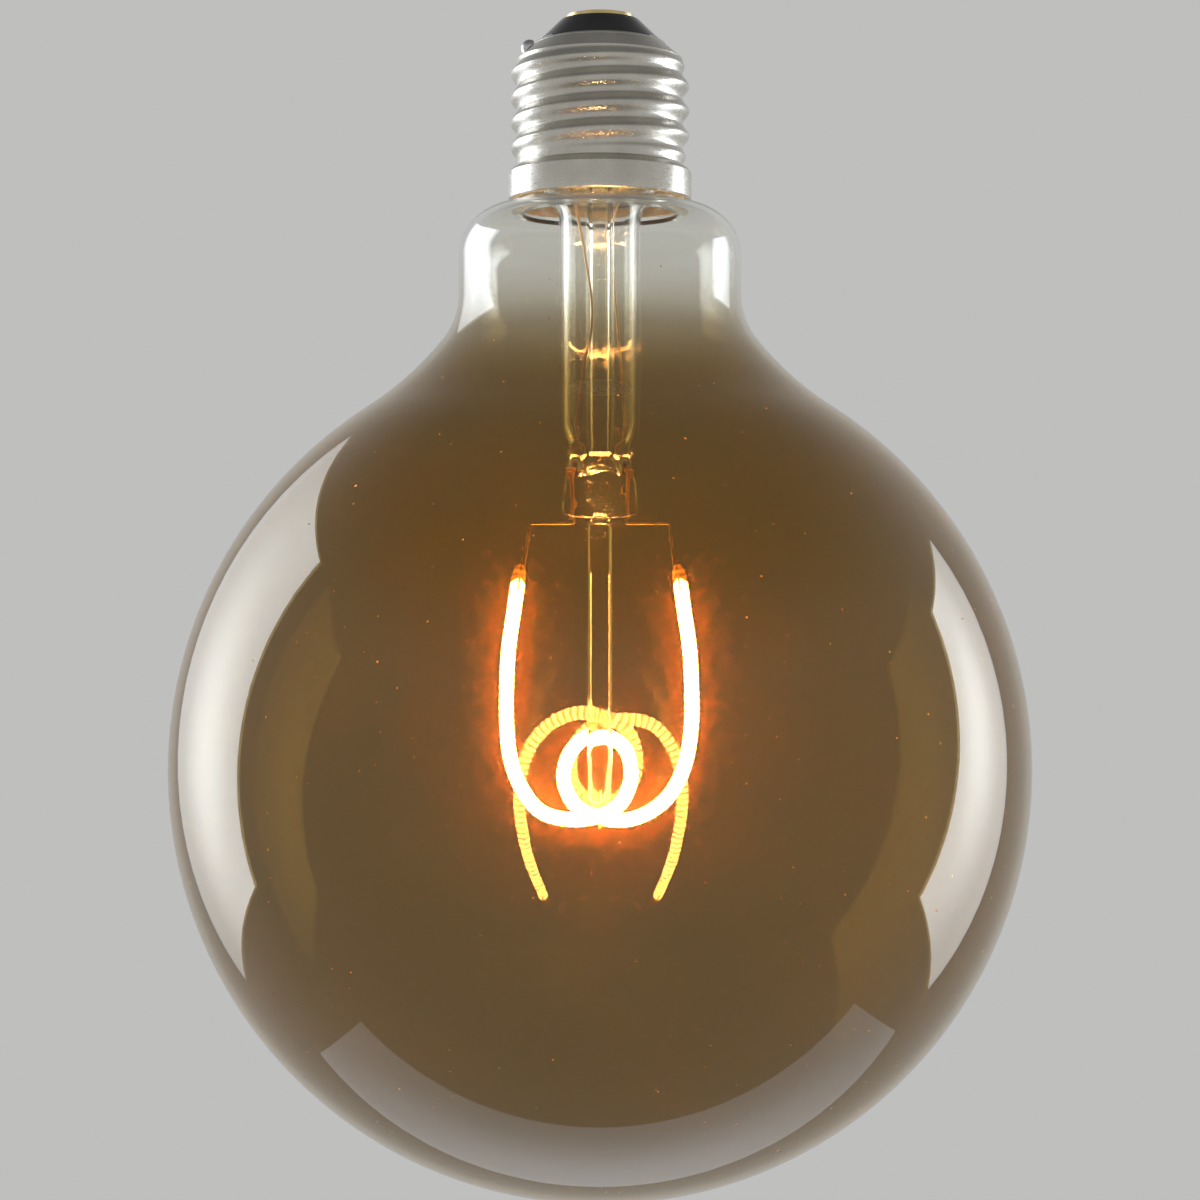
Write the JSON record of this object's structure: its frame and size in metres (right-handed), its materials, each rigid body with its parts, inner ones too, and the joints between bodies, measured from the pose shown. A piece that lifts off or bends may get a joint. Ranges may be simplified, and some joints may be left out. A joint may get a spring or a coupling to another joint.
{
  "type": "led globe bulb",
  "caption": "Large round amber-tinted filament lamp with a curled light strip on a glass stem, a driver hidden in its cap and an E27 screw cap.",
  "frame": {"origin": "flat tip of the centre contact, on the lamp's centre line", "axes": "+Z along the centre line out of the cap, so the globe hangs below; +X to the right in the picture, the filament's two strands lie left and right; +Y away from the camera"},
  "size_m": [0.125, 0.125, 0.1729],
  "materials": {
    "amber_glass": "clear blown glass, lightly smoked amber, smooth",
    "clear_glass": "clear lead-free tube glass, fire polished",
    "nickel_wire": "drawn nickel-plated wire, satin",
    "copper_clad_wire": "copper-clad seal wire, oxidised red",
    "copper_wire": "drawn copper wire, satin",
    "flexible_strip": "thin flexible carrier strip",
    "light_chip": "small glossy light chips",
    "phosphor": "silicone coat with phosphor, glowing orange-white when lit",
    "plated_shell": "nickel-plated rolled sheet, bright satin",
    "black_glass": "black pressed glass, glossy",
    "contact_brass": "pressed brass plate, lightly rubbed",
    "solder": "tin solder, dull silver",
    "cement": "baked capping cement, matte beige",
    "board_laminate": "green solder-masked laminate",
    "chip_package": "black moulded package",
    "chip_resistor": "black glazed chips with tinned ends",
    "can_aluminium": "drawn can, bright",
    "capacitor_sleeve": "shrunk dark blue film, plain",
    "rubber_bung": "black rubber, matte",
    "tinned_wire": "tinned wire, satin",
    "resistor_body": "lacquered ceramic body",
    "shrink_sleeve": "white woven sleeve",
    "red_insulation": "red wire insulation",
    "blue_insulation": "blue wire insulation"
  },
  "bodies": {
    "root": {"globe_glass": "amber_glass", "flare_tube": "clear_glass", "stem_press": "clear_glass", "exhaust_tube": "clear_glass", "centre_rod": "clear_glass", "support_hook": "nickel_wire", "seal_wire_left": "copper_clad_wire", "seal_wire_right": "copper_clad_wire", "outer_lead_left": "copper_wire", "outer_lead_right": "copper_wire", "inner_lead_left": "nickel_wire", "inner_lead_right": "nickel_wire", "filament_strip": "flexible_strip", "filament_chips": "light_chip", "filament_coat_outer": "phosphor", "filament_coat_inner": "phosphor", "filament_tab_left": "nickel_wire", "filament_tab_right": "nickel_wire", "cap_shell": "plated_shell", "cap_insulator": "black_glass", "centre_contact": "contact_brass", "contact_solder": "solder", "side_solder": "solder", "cap_cement": "cement", "driver_board": "board_laminate", "bridge_rectifier": "chip_package", "driver_chip": "chip_package", "chip_resistors": "chip_resistor", "board_solder": "solder", "capacitor_can": "can_aluminium", "capacitor_sleeve": "capacitor_sleeve", "capacitor_bung": "rubber_bung", "capacitor_leads": "tinned_wire", "fuse_resistor": "resistor_body", "resistor_sleeve": "shrink_sleeve", "resistor_lead": "tinned_wire", "live_wire": "red_insulation", "neutral_wire": "blue_insulation"}
  },
  "joints": []
}
